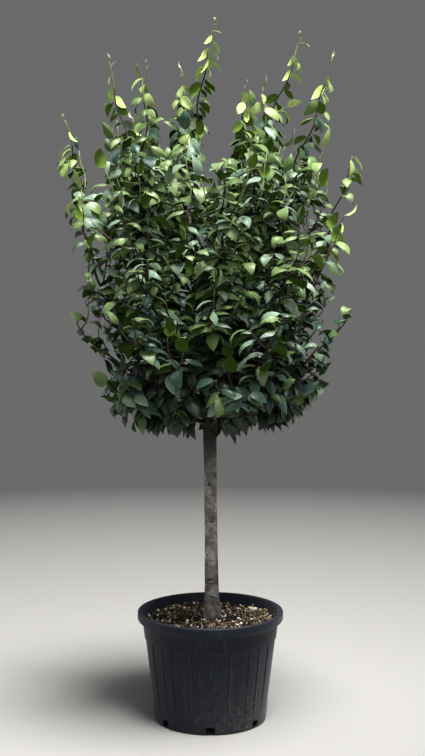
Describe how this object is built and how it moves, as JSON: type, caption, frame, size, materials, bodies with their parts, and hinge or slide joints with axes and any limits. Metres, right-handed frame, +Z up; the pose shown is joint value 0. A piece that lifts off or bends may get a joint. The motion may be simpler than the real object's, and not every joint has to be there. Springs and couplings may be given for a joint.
{
  "type": "potted standard quince tree",
  "caption": "Standard quince tree: a clear straight trunk under a full vase-shaped crown of long leafy shoots, in a round ribbed nursery pot filled with compost.",
  "frame": {"origin": "middle of the pot's flat underside, on the ground", "axes": "+Z up the trunk, -Y towards the front as seen in the picture, +X to the right as seen in the picture"},
  "size_m": [1.0979, 1.0171, 2.5174],
  "materials": {
    "pot": "black moulded polypropylene, fine matte grain, dusty towards the foot",
    "soil": "dark brown bark compost with white perlite grains and wood chips",
    "bark": "grey-brown young bark with rings, knots and pale lenticels",
    "leaf": "dark green leaf, satin above and paler felt below, yellow-green at the shoot tips"
  },
  "bodies": {
    "root": {"pot": "pot", "soil": "soil", "trunk": "bark", "bough_centre": "bark", "bough_centre_left": "bark", "bough_centre_back": "bark", "bough_left_mid": "bark", "bough_left_tall": "bark", "bough_left_far": "bark", "bough_right_mid": "bark", "bough_right_tall": "bark", "bough_right_far": "bark", "bough_right_wide": "bark", "bough_front": "bark", "bough_front_left": "bark", "bough_front_right": "bark", "bough_back_left": "bark", "bough_back_right": "bark", "bough_flank_1": "bark", "bough_flank_2": "bark", "bough_flank_3": "bark", "bough_flank_4": "bark", "bough_flank_5": "bark", "bough_flank_6": "bark", "bough_skirt_1": "bark", "bough_skirt_2": "bark", "bough_skirt_3": "bark", "bough_skirt_4": "bark", "bough_skirt_5": "bark", "foliage_centre": "leaf", "foliage_centre_left": "leaf", "foliage_centre_back": "leaf", "foliage_left_mid": "leaf", "foliage_left_tall": "leaf", "foliage_left_far": "leaf", "foliage_right_mid": "leaf", "foliage_right_tall": "leaf", "foliage_right_far": "leaf", "foliage_right_wide": "leaf", "foliage_front": "leaf", "foliage_front_left": "leaf", "foliage_front_right": "leaf", "foliage_back_left": "leaf", "foliage_back_right": "leaf", "foliage_flank_1": "leaf", "foliage_flank_2": "leaf", "foliage_flank_3": "leaf", "foliage_flank_4": "leaf", "foliage_flank_5": "leaf", "foliage_flank_6": "leaf", "foliage_skirt_1": "leaf", "foliage_skirt_2": "leaf", "foliage_skirt_3": "leaf", "foliage_skirt_4": "leaf", "foliage_skirt_5": "leaf"}
  },
  "joints": []
}
